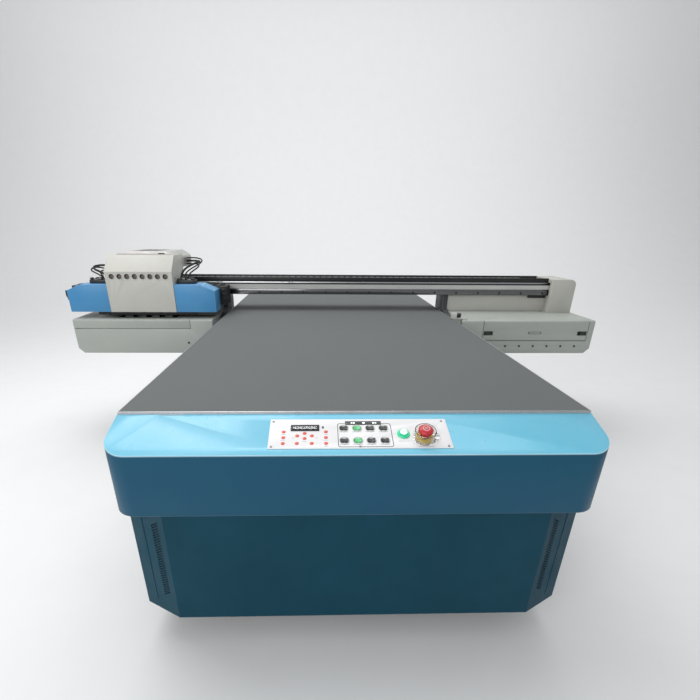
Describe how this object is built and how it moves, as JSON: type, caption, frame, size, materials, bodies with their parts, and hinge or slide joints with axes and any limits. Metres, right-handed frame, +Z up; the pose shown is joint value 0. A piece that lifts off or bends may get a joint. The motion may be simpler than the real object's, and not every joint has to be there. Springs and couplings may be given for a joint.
{
  "type": "flatbed uv printer",
  "caption": "Flatbed UV printer: long vacuum table with a sloping front console, a gantry that travels along it, side boxes, and a carriage that crosses the beam.",
  "frame": {"origin": "on the floor, under the middle of the whole machine at rest", "axes": "+X across the table to the right as seen from the console, +Y from the console to the back, +Z up"},
  "size_m": [3.109, 2.993, 1.108],
  "materials": {
    "frame_paint": "satin",
    "zinc_steel": "satin",
    "teal_paint": "fine texture",
    "blue_paint": "fine texture",
    "light_blue_paint": "fine texture",
    "bed_aluminium": "satin",
    "grey_surface": "matt",
    "rail_steel": "ground",
    "panel_white": "satin",
    "key_red": "gloss",
    "display_black": "gloss",
    "guard_clear": "gloss",
    "box_grey": "fine texture",
    "cover_grey": "fine texture",
    "wing_blue": "satin",
    "black_paint": "matt",
    "black_plastic": "matt",
    "belt_white": "matt",
    "hose_black": "satin",
    "tank_white": "satin",
    "head_metal": "anodised",
    "button_green": "gloss",
    "button_red": "gloss"
  },
  "bodies": {
    "base": {"base_beams": "frame_paint", "base_legs": "frame_paint", "levelling_feet": "zinc_steel", "pedestal_front": "teal_paint", "side_panels": "teal_paint", "rear_panel": "teal_paint", "console_apron": "blue_paint", "console_top": "light_blue_paint", "table_bed": "bed_aluminium", "table_surface": "grey_surface", "vacuum_chamber": "bed_aluminium", "vacuum_blowers": "head_metal", "y_rails": "rail_steel", "screw_bearings": "frame_paint", "y_motors": "black_paint", "electronics_cabinet": "zinc_steel", "control_panel": "panel_white", "keypad": "key_red", "lcd_display": "display_black", "estop_guard": "guard_clear"},
    "gantry": {"gantry_side_plates": "frame_paint", "y_blocks": "zinc_steel", "gantry_beam": "bed_aluminium", "x_rail": "rail_steel", "drive_belt": "belt_white", "x_drive_mounts": "black_paint", "chain_tray": "black_paint", "drag_chain": "black_plastic", "left_box": "box_grey", "left_box_lid": "box_grey", "right_box": "box_grey", "right_tower": "cover_grey", "beam_back_covers": "cover_grey", "ink_tanks": "tank_white"},
    "carriage": {"carriage_frame": "black_paint", "carriage_cover": "cover_grey", "carriage_hood": "cover_grey", "lamp_covers": "wing_blue", "uv_lamps": "black_paint", "print_heads": "head_metal", "lamp_hoses": "hose_black"},
    "x_slider": {"x_slider": "zinc_steel"},
    "y_screw_left": {"y_screw_left": "rail_steel"},
    "y_screw_right": {"y_screw_right": "rail_steel"},
    "ink_door": {"ink_door": "box_grey"},
    "latch_left": {"latch_left": "black_plastic"},
    "latch_right": {"latch_right": "black_plastic"},
    "cap_station": {"cap_station": "black_plastic"},
    "x_pulley_drive": {"x_pulley_drive": "zinc_steel"},
    "x_pulley_idler": {"x_pulley_idler": "zinc_steel"},
    "start_button": {"start_button": "button_green"},
    "estop_knob": {"estop_knob": "button_red"},
    "rocker_1": {"rocker_1": "black_plastic"},
    "rocker_2": {"rocker_2": "button_green"},
    "rocker_3": {"rocker_3": "black_plastic"},
    "rocker_4": {"rocker_4": "black_plastic"},
    "rocker_5": {"rocker_5": "black_plastic"},
    "rocker_6": {"rocker_6": "button_green"},
    "rocker_7": {"rocker_7": "black_plastic"},
    "rocker_8": {"rocker_8": "black_plastic"}
  },
  "joints": [
    {"name": "gantry_travel", "type": "slide", "parent": "base", "child": "gantry", "axis": [0, 1, 0], "range_m": [-1.45, 0.98]},
    {"name": "y_screw_left_spin", "type": "hinge", "parent": "base", "child": "y_screw_left", "pos_m": [-0.6165, -1.2435, 0.565], "axis": [0, 1, 0], "continuous": true},
    {"name": "y_screw_right_spin", "type": "hinge", "parent": "base", "child": "y_screw_right", "pos_m": [0.6755, -1.2435, 0.565], "axis": [0, 1, 0], "continuous": true},
    {"name": "carriage_travel", "type": "slide", "parent": "gantry", "child": "x_slider", "axis": [1, 0, 0], "range_m": [0, 2]},
    {"name": "x_pulley_drive_spin", "type": "hinge", "parent": "gantry", "child": "x_pulley_drive", "pos_m": [1.4395, 0.3805, 0.89], "axis": [0, 0, 1], "continuous": true},
    {"name": "x_pulley_idler_spin", "type": "hinge", "parent": "gantry", "child": "x_pulley_idler", "pos_m": [-1.3805, 0.3805, 0.89], "axis": [0, 0, 1], "continuous": true},
    {"name": "carriage_lift", "type": "slide", "parent": "x_slider", "child": "carriage", "axis": [0, 0, 1], "range_m": [0, 0.08]},
    {"name": "cap_lift", "type": "slide", "parent": "gantry", "child": "cap_station", "axis": [0, 0, 1], "range_m": [-0.015, 0]},
    {"name": "ink_door_swing", "type": "hinge", "parent": "gantry", "child": "ink_door", "pos_m": [1.2055, 0.0375, 0.638], "axis": [1, 0, 0], "range_deg": [0, 92]},
    {"name": "latch_left_slide", "type": "slide", "parent": "ink_door", "child": "latch_left", "axis": [1, 0, 0], "range_m": [0, 0.015], "stiffness_N_per_m": 150, "springref_m": -0.01},
    {"name": "latch_right_slide", "type": "slide", "parent": "ink_door", "child": "latch_right", "axis": [-1, 0, 0], "range_m": [0, 0.015], "stiffness_N_per_m": 150, "springref_m": -0.01},
    {"name": "start_press", "type": "slide", "parent": "base", "child": "start_button", "axis": [0, 0.3162, -0.9487], "range_m": [0, 0.003], "stiffness_N_per_m": 600, "springref_m": -0.002},
    {"name": "estop_press", "type": "slide", "parent": "base", "child": "estop_knob", "axis": [0, 0.3162, -0.9487], "range_m": [0, 0.005]},
    {"name": "rocker_1_tilt", "type": "hinge", "parent": "base", "child": "rocker_1", "pos_m": [-0.0135, -1.40485, 0.72966], "axis": [0, 0.9487, 0.3162], "range_deg": [0, 12]},
    {"name": "rocker_2_tilt", "type": "hinge", "parent": "base", "child": "rocker_2", "pos_m": [0.023, -1.40485, 0.72966], "axis": [0, 0.9487, 0.3162], "range_deg": [0, 12]},
    {"name": "rocker_3_tilt", "type": "hinge", "parent": "base", "child": "rocker_3", "pos_m": [0.059, -1.40485, 0.72966], "axis": [0, 0.9487, 0.3162], "range_deg": [0, 12]},
    {"name": "rocker_4_tilt", "type": "hinge", "parent": "base", "child": "rocker_4", "pos_m": [0.0955, -1.40485, 0.72966], "axis": [0, 0.9487, 0.3162], "range_deg": [0, 12]},
    {"name": "rocker_5_tilt", "type": "hinge", "parent": "base", "child": "rocker_5", "pos_m": [-0.0135, -1.44991, 0.71464], "axis": [0, 0.9487, 0.3162], "range_deg": [0, 12]},
    {"name": "rocker_6_tilt", "type": "hinge", "parent": "base", "child": "rocker_6", "pos_m": [0.023, -1.44991, 0.71464], "axis": [0, 0.9487, 0.3162], "range_deg": [0, 12]},
    {"name": "rocker_7_tilt", "type": "hinge", "parent": "base", "child": "rocker_7", "pos_m": [0.059, -1.44991, 0.71464], "axis": [0, 0.9487, 0.3162], "range_deg": [0, 12]},
    {"name": "rocker_8_tilt", "type": "hinge", "parent": "base", "child": "rocker_8", "pos_m": [0.0955, -1.44991, 0.71464], "axis": [0, 0.9487, 0.3162], "range_deg": [0, 12]}
  ],
  "couplings": [
    {"joint": "y_screw_left_spin", "follows": "gantry_travel", "rad_per_m": 314.16},
    {"joint": "y_screw_right_spin", "follows": "gantry_travel", "rad_per_m": 314.16},
    {"joint": "x_pulley_drive_spin", "follows": "carriage_travel", "rad_per_m": 40},
    {"joint": "x_pulley_idler_spin", "follows": "carriage_travel", "rad_per_m": 40}
  ]
}
